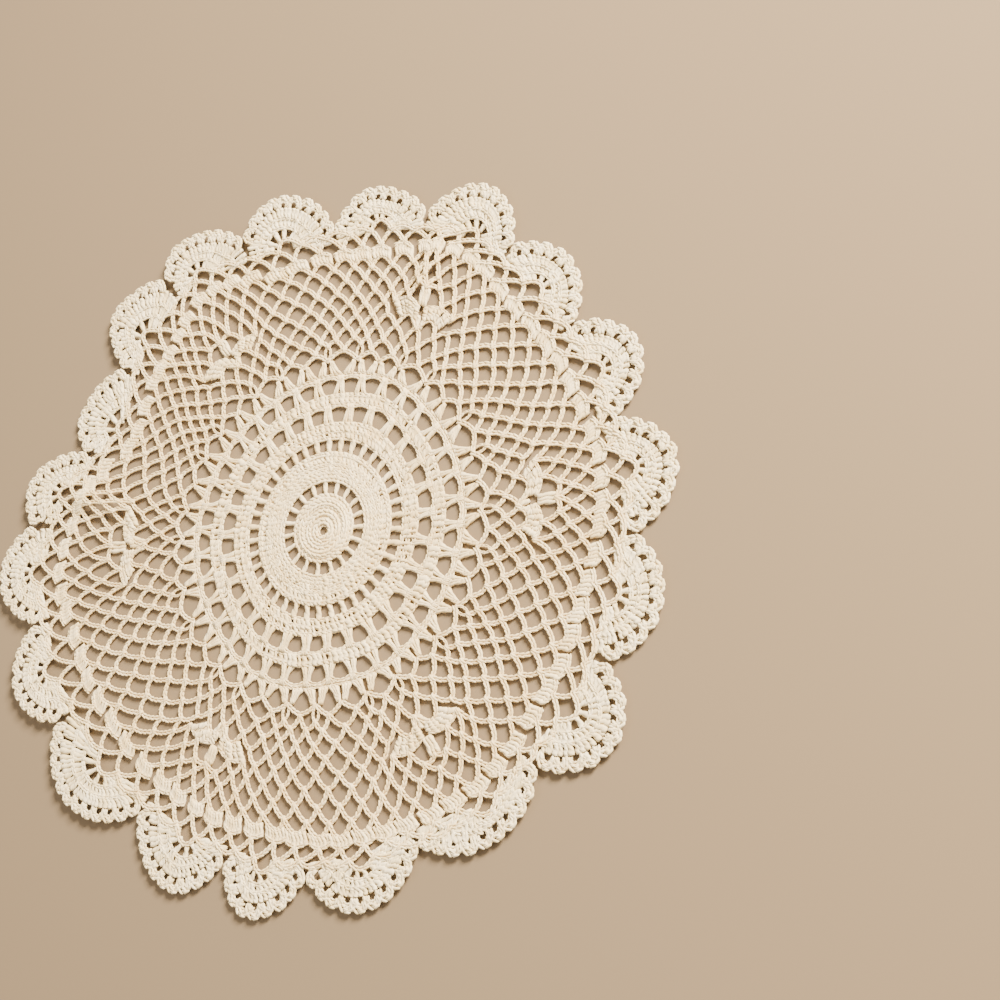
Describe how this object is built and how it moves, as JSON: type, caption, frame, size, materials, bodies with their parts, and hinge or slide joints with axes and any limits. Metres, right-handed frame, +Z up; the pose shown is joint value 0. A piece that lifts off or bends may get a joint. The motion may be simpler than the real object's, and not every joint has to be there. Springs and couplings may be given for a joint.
{
  "type": "lace doily",
  "caption": "Round crocheted cotton doily lying flat: a solid middle, rounds of holes, a lozenge net and scalloped fans with a picot edge.",
  "frame": {"origin": "middle of the crocheted rounds, on the surface that the doily lies on", "axes": "+Z up, out of the face that shows; +X and +Y lie in the cloth, with +X under the rounds' first joint, and the outline reaches furthest towards -X"},
  "size_m": [0.3538, 0.332, 0.0074],
  "materials": {
    "cotton_yarn": "cream cotton cord, matt with a faint sheen"
  },
  "bodies": {
    "root": {"doily": "cotton_yarn"}
  },
  "joints": []
}
